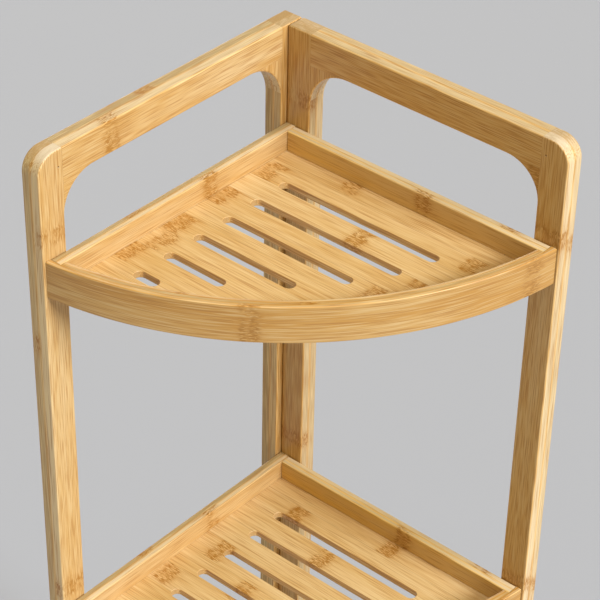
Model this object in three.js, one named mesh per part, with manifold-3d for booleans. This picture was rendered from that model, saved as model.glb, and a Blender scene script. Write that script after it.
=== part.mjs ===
// Free-standing bamboo corner shelf: two flat post-and-rail frames meet at a right angle,
// and quarter-round trays with slotted panels are held in the corner between them.
//
// Units are millimetres and +Z is up. The origin is on the floor, at the centre of the
// square footprint. The left frame stands along the -X side, the right frame along the
// +Y side, so the closed corner is at (-X, +Y) and the curved tray fronts face (+X, -Y).

import * as THREE from 'three';
import { mergeVertices } from 'three/addons/utils/BufferGeometryUtils.js';
import Module from 'manifold-3d';

// ---------------------------------------------------------------- driving dimensions

const GAP = 0.3;                  // clearance between neighbouring pieces

// Side frames
const HEIGHT = 800;
const FRAME_DEPTH = 225;          // from the inner corner to the front edge of a frame
const FRAME_THICKNESS = 15;
const POST_WIDTH = 20;
const TOP_RAIL_HEIGHT = 23;
const OUTER_CORNER_RADIUS = 14;   // rounded top corners
const BACK_CORNER_RADIUS = 2;     // top back corners, where the two frames meet
const OPENING_RADIUS = { back: 31, front: 26 };        // concave corners under the top rail
const CORNER_BLOCK_SIZE = { back: 27.5, front: 22.5 };  // glued blocks that make those corners
const FRAME_EDGE_EASE = 1.2;
const TENON = { length: 12, height: 12, thickness: 6 };

// Trays
const TRAYS = [
  { name: 'top_tray', rimHeight: 726 },
  { name: 'middle_tray', rimHeight: 438 },
  { name: 'bottom_tray', rimHeight: 150 },
];
const TRAY_REACH = 223.4;         // from the inner corner to the curved front, along a frame
const TRAY_DIAGONAL = 212.2;      // from the inner corner to the curved front, halfway round
const RAIL_HEIGHT = 27;
const SIDE_RAIL_THICKNESS = 8.5;
const FRONT_RAIL_THICKNESS = 8;
const FRONT_RAIL_WRAP = 4.2;      // part of the front rail that passes over a side rail's end
const RAIL_EDGE_EASE = 1;
const PANEL_THICKNESS = 5;
const PANEL_DEPTH = 15.5;         // from the rim down to the panel's upper face
const GROOVE_DEPTH = 3;           // groove in the rails that holds the panel's edge

// Drain slots, all parallel to the right frame and starting at the same distance
// from the left frame. One length per slot, from the back of the tray to its front.
const SLOT_WIDTH = 8.5;
const SLOT_PITCH = 27.3;
const FIRST_SLOT_OFFSET = 42.2;
const SLOT_START = 32.3;
const SLOT_LENGTHS = [131, 122.5, 106, 83, 49.5, 19.5];

// Fasteners and feet
const SCREW_HEAD_RADIUS = 3.8;
const SCREW_HEAD_HEIGHT = 2.4;
const SCREW_SHANK_RADIUS = 1.8;
const TRAY_SCREW_LENGTH = 21;
const TRAY_CORNER_SCREW_LENGTH = 36;
const FRAME_SCREW_LENGTH = 31;
const TRAY_SCREW_DROP = 7.5;      // tray screws, below the rim
const FRONT_SCREW_OFFSET = 211;   // along a frame, from the inner corner
const BACK_SCREW_OFFSET = 14.5;
const FRAME_SCREW_HEIGHTS = { upper: 764, middle: 400, lower: 60 };
const BRAD = { radius: 0.6, headRadius: 0.9, length: 10, sink: 0.6 };
const BRAD_OFFSET = 3.4;          // into the post, from the rail joint
const BRAD_DROP = 12.3;           // below the top of the frame
const FOOT_PAD_RADIUS = 6;
const FOOT_PAD_HEIGHT = 2.5;

// ---------------------------------------------------------------- materials

const bamboo = new THREE.MeshStandardMaterial({ color: 0xdcae6e, roughness: 0.45, metalness: 0 });
const bambooPanel = new THREE.MeshStandardMaterial({ color: 0xe0b070, roughness: 0.5, metalness: 0 });
const steel = new THREE.MeshStandardMaterial({ color: 0xb8babd, roughness: 0.35, metalness: 0.9 });
const rubber = new THREE.MeshStandardMaterial({ color: 0x2e2d2b, roughness: 0.85, metalness: 0 });

// ---------------------------------------------------------------- solid helpers

const wasm = await Module();
wasm.setup();

function toSolid(geometry) {
  const bare = geometry.clone();
  bare.deleteAttribute('normal');
  bare.deleteAttribute('uv');
  const welded = mergeVertices(bare, 1e-4);
  return new wasm.Manifold(new wasm.Mesh({
    numProp: 3,
    vertProperties: new Float32Array(welded.attributes.position.array),
    triVerts: new Uint32Array(welded.index.array),
  }));
}

function toGeometry(solid) {
  const mesh = solid.getMesh();
  const geometry = new THREE.BufferGeometry();
  geometry.setAttribute('position', new THREE.BufferAttribute(mesh.vertProperties, 3));
  geometry.setIndex(new THREE.BufferAttribute(mesh.triVerts, 1));
  geometry.computeVertexNormals();
  return geometry;
}

function boxSolid(low, high) {
  const size = new THREE.Vector3().subVectors(high, low);
  const centre = new THREE.Vector3().addVectors(low, high).multiplyScalar(0.5);
  const box = new THREE.BoxGeometry(size.x, size.y, size.z);
  box.translate(centre.x, centre.y, centre.z);
  return toSolid(box);
}

const point = (x, y, z) => new THREE.Vector3(x, y, z);

// Turns a turned shape whose tip points down its own -Y axis so that the tip
// points along `direction`, with its head end at `position`.
function aim(geometry, position, direction) {
  const turn = new THREE.Quaternion().setFromUnitVectors(new THREE.Vector3(0, -1, 0), direction);
  geometry.applyQuaternion(turn);
  geometry.translate(position.x, position.y, position.z);
  return geometry;
}

// ---------------------------------------------------------------- fasteners

const SCREW_SIDES = 12;

// Countersunk wood screw, head face at Y = 0.
function screwGeometry(length) {
  return new THREE.LatheGeometry([
    new THREE.Vector2(0, -length),
    new THREE.Vector2(SCREW_SHANK_RADIUS, -length + 4),
    new THREE.Vector2(SCREW_SHANK_RADIUS, -SCREW_HEAD_HEIGHT),
    new THREE.Vector2(SCREW_HEAD_RADIUS, -0.4),
    new THREE.Vector2(SCREW_HEAD_RADIUS, 0),
    new THREE.Vector2(0, 0),
  ], SCREW_SIDES);
}

// The countersunk hole that the same screw sits in.
function screwHoleGeometry(length) {
  const shank = SCREW_SHANK_RADIUS + GAP;
  const head = SCREW_HEAD_RADIUS + GAP;
  return new THREE.LatheGeometry([
    new THREE.Vector2(0, -length - GAP),
    new THREE.Vector2(shank, -length - GAP),
    new THREE.Vector2(shank, -SCREW_HEAD_HEIGHT - GAP),
    new THREE.Vector2(head, -0.4 - GAP),
    new THREE.Vector2(head, 2),
    new THREE.Vector2(0, 2),
  ], SCREW_SIDES);
}

const BRAD_SIDES = 8;

function bradGeometry() {
  return new THREE.LatheGeometry([
    new THREE.Vector2(0, -BRAD.length),
    new THREE.Vector2(BRAD.radius, -BRAD.length + 1),
    new THREE.Vector2(BRAD.radius, -0.5),
    new THREE.Vector2(BRAD.headRadius, -0.5),
    new THREE.Vector2(BRAD.headRadius, 0),
    new THREE.Vector2(0, 0),
  ], BRAD_SIDES);
}

function bradHoleGeometry() {
  const radius = BRAD.headRadius + GAP;
  return new THREE.LatheGeometry([
    new THREE.Vector2(0, -BRAD.length - GAP),
    new THREE.Vector2(radius, -BRAD.length - GAP),
    new THREE.Vector2(radius, 2),
    new THREE.Vector2(0, 2),
  ], BRAD_SIDES);
}

// ---------------------------------------------------------------- scene graph helpers

const shelf = new THREE.Group();

function addPiece(parent, name, geometry, material) {
  const mesh = new THREE.Mesh(geometry, material);
  mesh.name = name;
  parent.add(mesh);
}

// ---------------------------------------------------------------- side frames
//
// In a frame's own coordinates X runs forward from the inner corner, Y = 0 is the
// inner face, Z is up. `outward` is the sign of Y on the outer face.

const POST_FOOT = FOOT_PAD_HEIGHT + GAP;
const RAIL_BOTTOM = HEIGHT - TOP_RAIL_HEIGHT;
const FRONT_JOINT = FRAME_DEPTH - POST_WIDTH;

// The whole glued-up frame as one bar bent into an arch, with its edges eased.
function frameBlank(backEnd, backJoint, outward) {
  const arch = new THREE.Shape();
  arch.moveTo(backEnd, POST_FOOT);
  arch.lineTo(backJoint, POST_FOOT);
  arch.lineTo(backJoint, RAIL_BOTTOM - OPENING_RADIUS.back);
  arch.absarc(backJoint + OPENING_RADIUS.back, RAIL_BOTTOM - OPENING_RADIUS.back,
    OPENING_RADIUS.back, Math.PI, Math.PI / 2, true);
  arch.absarc(FRONT_JOINT - OPENING_RADIUS.front, RAIL_BOTTOM - OPENING_RADIUS.front,
    OPENING_RADIUS.front, Math.PI / 2, 0, true);
  arch.lineTo(FRONT_JOINT, POST_FOOT);
  arch.lineTo(FRAME_DEPTH, POST_FOOT);
  arch.absarc(FRAME_DEPTH - OUTER_CORNER_RADIUS, HEIGHT - OUTER_CORNER_RADIUS,
    OUTER_CORNER_RADIUS, 0, Math.PI / 2, false);
  arch.absarc(backEnd + BACK_CORNER_RADIUS, HEIGHT - BACK_CORNER_RADIUS,
    BACK_CORNER_RADIUS, Math.PI / 2, Math.PI, false);
  arch.closePath();

  const geometry = new THREE.ExtrudeGeometry(arch, {
    depth: FRAME_THICKNESS - 2 * FRAME_EDGE_EASE,
    curveSegments: 5,
    bevelSegments: 1,
    bevelSize: FRAME_EDGE_EASE,
    bevelThickness: FRAME_EDGE_EASE,
    bevelOffset: -FRAME_EDGE_EASE,
  });
  geometry.rotateX(Math.PI / 2);
  const shift = outward > 0 ? FRAME_THICKNESS - FRAME_EDGE_EASE : -FRAME_EDGE_EASE;
  geometry.translate(0, shift, 0);
  return toSolid(geometry);
}

// A slab across the frame's full thickness, used to divide the blank along its glue lines.
function slab(lowX, highX, lowZ, highZ) {
  return boxSolid(
    point(lowX, -2 * FRAME_THICKNESS, lowZ),
    point(highX, 2 * FRAME_THICKNESS, highZ),
  );
}

function tenonSolid(joint, towards, outward, clearance) {
  const middle = outward * FRAME_THICKNESS / 2;
  const reach = towards * (TENON.length + clearance);
  const start = joint - towards;
  const end = joint + reach;
  const top = RAIL_BOTTOM + (TOP_RAIL_HEIGHT + TENON.height) / 2;
  return boxSolid(
    point(Math.min(start, end), middle - TENON.thickness / 2 - clearance, top - TENON.height - clearance),
    point(Math.max(start, end), middle + TENON.thickness / 2 + clearance, top + clearance),
  );
}

function buildFrame({ side, backEnd, backJoint, outward, backPostHoles, frontPostHoles }) {
  const frame = new THREE.Group();
  const blank = frameBlank(backEnd, backJoint, outward);
  const drillAll = (solid, holes) => holes.reduce(
    (drilled, hole) => drilled.subtract(toSolid(aim(screwHoleGeometry(hole.length), hole.at, hole.towards))),
    solid,
  );

  const bradAt = point(
    FRONT_JOINT + BRAD_OFFSET,
    outward * BRAD.sink,
    HEIGHT - BRAD_DROP,
  );
  const outwards = point(0, outward, 0);
  const bradHole = toSolid(aim(bradHoleGeometry(), bradAt, outwards));

  let backPost = blank.intersect(slab(backEnd - 1, backJoint, 0, HEIGHT + 1));
  backPost = backPost.subtract(tenonSolid(backJoint, -1, outward, GAP));
  backPost = drillAll(backPost, backPostHoles);
  addPiece(frame, `${side}_back_post`, toGeometry(backPost), bamboo);

  let frontPost = blank.intersect(slab(FRONT_JOINT, FRAME_DEPTH + 1, 0, HEIGHT + 1));
  frontPost = frontPost.subtract(tenonSolid(FRONT_JOINT, 1, outward, GAP));
  frontPost = drillAll(frontPost, frontPostHoles).subtract(bradHole);
  addPiece(frame, `${side}_front_post`, toGeometry(frontPost), bamboo);

  const railBar = blank.intersect(slab(backJoint + GAP, FRONT_JOINT - GAP, RAIL_BOTTOM, HEIGHT + 1));
  const topRail = railBar
    .add(tenonSolid(backJoint + GAP, -1, outward, 0))
    .add(tenonSolid(FRONT_JOINT - GAP, 1, outward, 0))
    .subtract(bradHole);
  addPiece(frame, `${side}_top_rail`, toGeometry(topRail), bamboo);

  const blockTop = RAIL_BOTTOM - GAP;
  const backStart = backJoint + GAP;
  const backReach = CORNER_BLOCK_SIZE.back;
  const backBlock = slab(backStart, backStart + backReach, blockTop - backReach, blockTop);
  const frontStart = FRONT_JOINT - GAP;
  const frontReach = CORNER_BLOCK_SIZE.front;
  const frontBlock = slab(frontStart - frontReach, frontStart, blockTop - frontReach, blockTop);
  addPiece(frame, `${side}_back_corner_block`, toGeometry(blank.intersect(backBlock)), bamboo);
  addPiece(frame, `${side}_front_corner_block`, toGeometry(blank.intersect(frontBlock)), bamboo);

  addPiece(frame, `${side}_brad`, aim(bradGeometry(), bradAt, outwards), steel);
  return frame;
}

// Screws sit just under the outer face and point towards the trays.
const headPlane = FRAME_THICKNESS - GAP;

function trayScrews(offset, length, outward) {
  return TRAYS.map((tray) => ({
    tray,
    length,
    at: point(offset, outward * headPlane, tray.rimHeight - TRAY_SCREW_DROP),
    towards: point(0, -outward, 0),
  }));
}

function addScrews(frame, screws, nameOf) {
  for (const screw of screws) {
    addPiece(frame, nameOf(screw), aim(screwGeometry(screw.length), screw.at, screw.towards), steel);
  }
}

// Centre line of the corner tray screw, which enters the end of the left side rail.
const CORNER_SCREW_OFFSET = GAP + SIDE_RAIL_THICKNESS / 2;

// Left frame: it runs on past the inner corner, so the right frame butts against its inner face.
const leftOutward = -1;
const leftFrontScrews = trayScrews(FRONT_SCREW_OFFSET, TRAY_SCREW_LENGTH, leftOutward);
const frameScrews = Object.entries(FRAME_SCREW_HEIGHTS).map(([level, height]) => ({
  level,
  length: FRAME_SCREW_LENGTH,
  at: point(-FRAME_THICKNESS / 2, leftOutward * headPlane, height),
  towards: point(0, 1, 0),
}));
const leftFrame = buildFrame({
  side: 'left',
  backEnd: -FRAME_THICKNESS,
  backJoint: POST_WIDTH - FRAME_THICKNESS,
  outward: leftOutward,
  backPostHoles: frameScrews,
  frontPostHoles: leftFrontScrews,
});
addScrews(leftFrame, leftFrontScrews, ({ tray }) => `${tray.name}_screw_left_front`);
addScrews(leftFrame, frameScrews, ({ level }) => `frame_screw_${level}`);
leftFrame.rotation.z = -Math.PI / 2;

// Right frame: its back post also takes the tips of the screws that join the two frames.
const rightOutward = 1;
const rightFrontScrews = trayScrews(FRONT_SCREW_OFFSET, TRAY_SCREW_LENGTH, rightOutward);
const rightBackScrews = trayScrews(BACK_SCREW_OFFSET, TRAY_SCREW_LENGTH, rightOutward);
const cornerScrews = trayScrews(CORNER_SCREW_OFFSET, TRAY_CORNER_SCREW_LENGTH, rightOutward);
const frameScrewTips = frameScrews.map((screw) => ({
  length: FRAME_SCREW_LENGTH,
  at: point(-headPlane, FRAME_THICKNESS / 2, screw.at.z),
  towards: point(1, 0, 0),
}));
const rightFrame = buildFrame({
  side: 'right',
  backEnd: GAP,
  backJoint: POST_WIDTH,
  outward: rightOutward,
  backPostHoles: [...rightBackScrews, ...cornerScrews, ...frameScrewTips],
  frontPostHoles: rightFrontScrews,
});
addScrews(rightFrame, rightFrontScrews, ({ tray }) => `${tray.name}_screw_right_front`);
addScrews(rightFrame, rightBackScrews, ({ tray }) => `${tray.name}_screw_right_back`);
addScrews(rightFrame, cornerScrews, ({ tray }) => `${tray.name}_screw_corner`);

// ---------------------------------------------------------------- trays
//
// In a tray's own coordinates X runs out from the right frame, Y out from the left
// frame, and Z = 0 is the top of its rim.

// The curved front is an arc whose centre lies behind the inner corner, on the diagonal.
const arcSetback = (TRAY_REACH ** 2 - TRAY_DIAGONAL ** 2)
  / (2 * (Math.SQRT2 * TRAY_DIAGONAL - TRAY_REACH));
const FRONT_RADIUS = TRAY_DIAGONAL + Math.SQRT2 * arcSetback;
const RING_SEGMENTS = 144;

const SIDE_RAIL_FACE = GAP + SIDE_RAIL_THICKNESS;
const SIDE_RAIL_END = TRAY_REACH - FRONT_RAIL_WRAP - GAP;

// Cross-section of a tray rail: t = 0 is the face towards the tray, t grows outwards.
function railSection(thickness) {
  const ease = RAIL_EDGE_EASE;
  const grooveTop = -PANEL_DEPTH + GAP;
  const grooveBottom = -PANEL_DEPTH - PANEL_THICKNESS - GAP;
  return [
    [0, -ease],
    [0, grooveTop],
    [GROOVE_DEPTH, grooveTop],
    [GROOVE_DEPTH, grooveBottom],
    [0, grooveBottom],
    [0, -RAIL_HEIGHT + ease],
    [ease, -RAIL_HEIGHT],
    [thickness - ease, -RAIL_HEIGHT],
    [thickness, -RAIL_HEIGHT + ease],
    [thickness, -ease],
    [thickness - ease, 0],
    [ease, 0],
  ].map(([t, z]) => new THREE.Vector2(t, z));
}

// A straight rail of the given length whose section is carried along `direction`.
function straightRail(length, outwards, direction) {
  const geometry = new THREE.ExtrudeGeometry(new THREE.Shape(railSection(SIDE_RAIL_THICKNESS)), {
    depth: length,
    bevelEnabled: false,
  });
  geometry.applyMatrix4(new THREE.Matrix4().makeBasis(outwards, point(0, 0, 1), direction));
  return geometry;
}

const blindScrewHole = (length, at, towards) => toSolid(aim(screwHoleGeometry(length), at, towards));

function leftRailSolid() {
  const length = SIDE_RAIL_END - GAP;
  const rail = straightRail(length, point(0, -1, 0), point(-1, 0, 0));
  rail.translate(SIDE_RAIL_END, SIDE_RAIL_FACE, 0);
  return toSolid(rail)
    .subtract(blindScrewHole(TRAY_SCREW_LENGTH,
      point(FRONT_SCREW_OFFSET, -headPlane, -TRAY_SCREW_DROP), point(0, 1, 0)))
    .subtract(blindScrewHole(TRAY_CORNER_SCREW_LENGTH,
      point(-headPlane, CORNER_SCREW_OFFSET, -TRAY_SCREW_DROP), point(1, 0, 0)));
}

function rightRailSolid() {
  const start = SIDE_RAIL_FACE + GAP;
  const rail = straightRail(SIDE_RAIL_END - start, point(-1, 0, 0), point(0, 1, 0));
  rail.translate(SIDE_RAIL_FACE, start, 0);
  return [FRONT_SCREW_OFFSET, BACK_SCREW_OFFSET].reduce(
    (solid, offset) => solid.subtract(blindScrewHole(TRAY_SCREW_LENGTH,
      point(-headPlane, offset, -TRAY_SCREW_DROP), point(1, 0, 0))),
    toSolid(rail),
  );
}

// The curved rail is a sector of a turned ring, notched to pass over the side rails' ends.
function frontRailSolid() {
  const section = railSection(FRONT_RAIL_THICKNESS)
    .map(({ x, y }) => new THREE.Vector2(FRONT_RADIUS - FRONT_RAIL_THICKNESS + x, y));
  const ring = new THREE.LatheGeometry([...section, section[0]], RING_SEGMENTS);
  ring.rotateX(Math.PI / 2);
  ring.translate(-arcSetback, -arcSetback, 0);
  const corner = boxSolid(point(GAP, GAP, -2 * RAIL_HEIGHT), point(FRONT_RADIUS, FRONT_RADIUS, RAIL_HEIGHT));
  const notch = SIDE_RAIL_END + GAP;
  const shoulder = SIDE_RAIL_FACE + GAP;
  return toSolid(ring)
    .intersect(corner)
    .subtract(boxSolid(point(-1, -1, -2 * RAIL_HEIGHT), point(notch, shoulder, RAIL_HEIGHT)))
    .subtract(boxSolid(point(-1, -1, -2 * RAIL_HEIGHT), point(shoulder, notch, RAIL_HEIGHT)));
}

function slotPath(centreX, length) {
  const radius = SLOT_WIDTH / 2;
  const slot = new THREE.Path();
  slot.absarc(centreX, SLOT_START + length - radius, radius, 0, Math.PI, false);
  slot.absarc(centreX, SLOT_START + radius, radius, Math.PI, 2 * Math.PI, false);
  return slot;
}

function panelGeometry() {
  const edge = SIDE_RAIL_FACE - GROOVE_DEPTH + GAP;
  const radius = FRONT_RADIUS - FRONT_RAIL_THICKNESS + GROOVE_DEPTH - GAP;
  const endAngle = Math.asin((edge + arcSetback) / radius);
  const outline = new THREE.Shape();
  outline.moveTo(edge, edge);
  outline.lineTo(radius * Math.cos(endAngle) - arcSetback, edge);
  outline.absarc(-arcSetback, -arcSetback, radius, endAngle, Math.PI / 2 - endAngle, false);
  outline.holes = SLOT_LENGTHS.map((length, i) => slotPath(FIRST_SLOT_OFFSET + i * SLOT_PITCH, length));
  const geometry = new THREE.ExtrudeGeometry(outline, {
    depth: PANEL_THICKNESS,
    curveSegments: 6,
    bevelEnabled: false,
  });
  geometry.translate(0, 0, -PANEL_DEPTH - PANEL_THICKNESS);
  return geometry;
}

const trayPieces = {
  left_rail: { geometry: toGeometry(leftRailSolid()), material: bamboo },
  right_rail: { geometry: toGeometry(rightRailSolid()), material: bamboo },
  front_rail: { geometry: toGeometry(frontRailSolid()), material: bamboo },
  slotted_panel: { geometry: panelGeometry(), material: bambooPanel },
};

function buildTray({ name, rimHeight }) {
  const tray = new THREE.Group();
  for (const [piece, { geometry, material }] of Object.entries(trayPieces)) {
    addPiece(tray, `${name}_${piece}`, geometry, material);
  }
  tray.rotation.z = -Math.PI / 2;
  tray.position.z = rimHeight;
  return tray;
}

// ---------------------------------------------------------------- foot pads

function addFootPad(parent, name, x, y) {
  const pad = new THREE.CylinderGeometry(FOOT_PAD_RADIUS, FOOT_PAD_RADIUS, FOOT_PAD_HEIGHT, 24);
  pad.rotateX(Math.PI / 2);
  pad.translate(x, y, FOOT_PAD_HEIGHT / 2);
  addPiece(parent, name, pad, rubber);
}

const padInset = FRAME_THICKNESS / 2;
addFootPad(leftFrame, 'left_front_foot_pad', FRAME_DEPTH - POST_WIDTH / 2, leftOutward * padInset);
addFootPad(leftFrame, 'left_back_foot_pad', POST_WIDTH / 2 - FRAME_THICKNESS, leftOutward * padInset);
addFootPad(rightFrame, 'right_front_foot_pad', FRAME_DEPTH - POST_WIDTH / 2, rightOutward * padInset);
addFootPad(rightFrame, 'right_back_foot_pad', POST_WIDTH / 2, rightOutward * padInset);

// ---------------------------------------------------------------- assembly

// Everything is built around the inner corner, then the corner is moved so that the
// origin is at the centre of the footprint.
const assembly = new THREE.Group();
assembly.add(leftFrame, rightFrame, ...TRAYS.map(buildTray));
const footprintCentre = (FRAME_DEPTH - FRAME_THICKNESS) / 2;
assembly.position.set(-footprintCentre, footprintCentre, 0);
shelf.add(assembly);

export default shelf;
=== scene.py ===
"""Looks of a bamboo corner shelf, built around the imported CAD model.

Every piece is remade at its CAD place with finely eased edges, and the wooden ones carry
their own bamboo grain. Units are metres, +Z is up, and the closed corner is at (-X, +Y).
"""
import math
from collections import namedtuple

import bmesh
import bpy
import numpy as np
from mathutils import Matrix, Vector


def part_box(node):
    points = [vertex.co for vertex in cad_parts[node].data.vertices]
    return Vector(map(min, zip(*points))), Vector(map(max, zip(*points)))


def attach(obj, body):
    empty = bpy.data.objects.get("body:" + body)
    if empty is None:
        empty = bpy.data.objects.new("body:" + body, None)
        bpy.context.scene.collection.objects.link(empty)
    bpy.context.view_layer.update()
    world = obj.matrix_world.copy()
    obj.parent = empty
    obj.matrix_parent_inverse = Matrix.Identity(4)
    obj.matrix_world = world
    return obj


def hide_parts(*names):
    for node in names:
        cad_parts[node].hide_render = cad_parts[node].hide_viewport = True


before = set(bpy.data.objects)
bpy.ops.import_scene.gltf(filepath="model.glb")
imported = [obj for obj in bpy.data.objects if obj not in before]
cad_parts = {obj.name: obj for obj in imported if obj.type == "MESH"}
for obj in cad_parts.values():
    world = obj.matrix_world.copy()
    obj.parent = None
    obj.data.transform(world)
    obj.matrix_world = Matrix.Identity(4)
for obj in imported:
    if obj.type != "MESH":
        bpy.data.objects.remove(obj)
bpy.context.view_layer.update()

MM = 0.001
GAP = 0.3 * MM
GLUE_JOINT = 0.07 * MM            # width of a glued joint in a frame

# ---------------------------------------------------------------- sizes taken from the frame

left_post_low, left_post_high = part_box("left_front_post")
right_post_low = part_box("right_front_post")[0]
rail_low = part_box("left_top_rail")[0]
back_block_low, back_block_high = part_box("left_back_corner_block")
front_block_low, front_block_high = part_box("left_front_corner_block")
left_rail_low, left_rail_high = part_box("top_tray_left_rail")
front_rail_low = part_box("top_tray_front_rail")[0]
panel_low, panel_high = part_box("top_tray_slotted_panel")

CORNER = Vector((left_post_high.x, right_post_low.y, 0))     # inner corner, on the floor
HEIGHT = left_post_high.z
POST_FOOT = left_post_low.z
FRAME_THICKNESS = left_post_high.x - left_post_low.x
POST_WIDTH = left_post_high.y - left_post_low.y
FRAME_DEPTH = CORNER.y - left_post_low.y
RAIL_BOTTOM = rail_low.z
BACK_BLOCK_SIZE = back_block_high.z - back_block_low.z
FRONT_BLOCK_SIZE = front_block_high.z - front_block_low.z
RAIL_HEIGHT = left_rail_high.z - left_rail_low.z
SIDE_RAIL_THICKNESS = left_rail_high.x - left_rail_low.x
SIDE_RAIL_END = CORNER.y - left_rail_low.y
TRAY_REACH = CORNER.y - front_rail_low.y
PANEL_DEPTH = left_rail_high.z - panel_high.z
PANEL_THICKNESS = panel_high.z - panel_low.z

# ---------------------------------------------------------------- radii and details

OUTER_CORNER_RADIUS = 14 * MM
BACK_CORNER_RADIUS = 2 * MM
BACK_OPENING_RADIUS = 31 * MM
FRONT_OPENING_RADIUS = 26 * MM
FRAME_EDGE_EASE = 1.3 * MM
TENON_LENGTH = 12 * MM
TENON_HEIGHT = 12 * MM
TENON_THICKNESS = 6 * MM

TRAY_DIAGONAL = 212.2 * MM        # inner corner to the curved front, halfway round
FRONT_RAIL_THICKNESS = 8 * MM
RAIL_EDGE_EASE = 1.0 * MM
GROOVE_DEPTH = 3 * MM

SLOT_WIDTH = 8.5 * MM
SLOT_PITCH = 27.3 * MM
FIRST_SLOT_OFFSET = 42.2 * MM
SLOT_START = 32.3 * MM
SLOT_LENGTHS = [131 * MM, 122.5 * MM, 106 * MM, 83 * MM, 49.5 * MM, 19.5 * MM]
SLOT_EDGE_EASE = 0.5 * MM

STRIP_WIDTH = 21.5 * MM           # glued strips of a panel
FIRST_STRIP_EDGE = 2.5 * MM
NODE_SPACING = 290 * MM           # between two nodes of one bamboo strip

ARC_STEPS = 14                    # segments of a quarter circle in an outline
EASE_STEPS = 3                    # segments of an eased edge
FRONT_RAIL_STEPS = 120
PANEL_FRONT_STEPS = 90
SCREW_STEPS = 48                  # segments round a screw
HOLE_STEPS = 40
BRAD_STEPS = 24
PAD_STEPS = 40

CUTTER_MARGIN = 2 * MM            # how far a hole's cutter stands out of the wood
SHARP_ANGLE = math.radians(35)    # edges with a larger angle stay crisp

# ---------------------------------------------------------------- mesh building


def arc(centre, radius, start, end, steps=ARC_STEPS):
    """Points on a circle, angles in quarter turns."""
    angles = [math.pi / 2 * (start + (end - start) * i / steps) for i in range(steps + 1)]
    return [Vector((centre[0] + radius * math.cos(a), centre[1] + radius * math.sin(a))) for a in angles]


def inset(outline, distance):
    """The closed anticlockwise outline moved inwards by distance, with mitred corners."""
    moved = []
    for i, corner in enumerate(outline):
        before = (corner - outline[i - 1]).normalized()
        after = (outline[(i + 1) % len(outline)] - corner).normalized()
        normal_before = Vector((-before.y, before.x))
        normal_after = Vector((-after.y, after.x))
        mitre = (normal_before + normal_after) / (1 + normal_before.dot(normal_after))
        moved.append(corner + mitre * distance)
    return moved


def skin(rings):
    """A closed mesh over a row of rings of points, capped at both ends."""
    mesh = bmesh.new()
    rows = [[mesh.verts.new(p) for p in ring] for ring in rings]
    count = len(rows[0])
    for low, high in zip(rows, rows[1:]):
        for i in range(count):
            j = (i + 1) % count
            mesh.faces.new((low[i], low[j], high[j], high[i]))
    mesh.faces.new(reversed(rows[0]))
    mesh.faces.new(rows[-1])
    bmesh.ops.recalc_face_normals(mesh, faces=mesh.faces)
    return mesh


def box_mesh(low, high):
    """A box between two corners."""
    x0, y0, z0 = low
    x1, y1, z1 = high
    return skin([[(x0, y0, z), (x1, y0, z), (x1, y1, z), (x0, y1, z)] for z in (z0, z1)])


def eased_slab(outline, depth, ease):
    """An outline in X and Z, extruded along Y from 0 to depth with rounded edges."""
    turns = [math.pi / 2 * i / EASE_STEPS for i in range(EASE_STEPS + 1)]
    profile = [(ease * (1 - math.cos(a)), ease * (1 - math.sin(a))) for a in turns]
    profile += [(depth - y, shrink) for y, shrink in reversed(profile)]
    return skin([[Vector((p.x, y, p.y)) for p in inset(outline, shrink)] for y, shrink in profile])


def lathe_mesh(profile, steps):
    """A solid of revolution about Z from a profile of (radius, height) that starts and ends on the axis."""
    mesh = bmesh.new()
    ends = [mesh.verts.new((0, 0, profile[0][1])), mesh.verts.new((0, 0, profile[-1][1]))]
    rows = []
    for radius, height in profile[1:-1]:
        angles = [2 * math.pi * i / steps for i in range(steps)]
        rows.append([mesh.verts.new((radius * math.cos(a), radius * math.sin(a), height)) for a in angles])
    for i in range(steps):
        j = (i + 1) % steps
        mesh.faces.new((ends[0], rows[0][j], rows[0][i]))
        mesh.faces.new((ends[1], rows[-1][i], rows[-1][j]))
        for low, high in zip(rows, rows[1:]):
            mesh.faces.new((low[i], low[j], high[j], high[i]))
    bmesh.ops.recalc_face_normals(mesh, faces=mesh.faces)
    return mesh


def merged(meshes):
    """Several separate closed meshes as one."""
    together = bmesh.new()
    for mesh in meshes:
        part = bpy.data.meshes.new("part")
        mesh.to_mesh(part)
        together.from_mesh(part)
        bpy.data.meshes.remove(part)
    return together


def carve(body, tools, operation="DIFFERENCE"):
    """The body cut by, kept inside or joined with the tools, all closed meshes."""
    objects = []
    for mesh in (body, merged(tools)):
        data = bpy.data.meshes.new("carve")
        mesh.to_mesh(data)
        thing = bpy.data.objects.new("carve", data)
        bpy.context.scene.collection.objects.link(thing)
        objects.append(thing)
    modifier = objects[0].modifiers.new("carve", "BOOLEAN")
    modifier.operation = operation
    modifier.solver = "EXACT"
    modifier.object = objects[1]
    evaluated = objects[0].evaluated_get(bpy.context.evaluated_depsgraph_get())
    result = bmesh.new()
    result.from_mesh(evaluated.to_mesh())
    for thing in objects:
        data = thing.data
        bpy.data.objects.remove(thing)
        bpy.data.meshes.remove(data)
    return result


# ---------------------------------------------------------------- bamboo sticks
#
# A laminated piece is made of sticks: plies of a bar, or strips of a panel. The grain
# attribute holds, at every corner of every face, how far the point is from the stick's
# node along the grain, and its place across the grain both ways. The stick attribute
# holds a seed, the stick's tone (0 olive, 0.5 honey, 1 cream) and its kind: 1 for a ply,
# whose edges are paler than its faces, -1 for an upright panel face such as a slot wall,
# which gets painted shade, and 0 otherwise. The seam attribute holds the place between
# the stick's two sides, the stick's half width and the distance between its nodes.

Stick = namedtuple("Stick", "start end tone node spacing", defaults=[NODE_SPACING])
STICK_SEED_STEP = 0.37            # between neighbouring sticks of a piece
SEED_SPREAD = 17.3                # takes each stick to its own part of the noise


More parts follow.
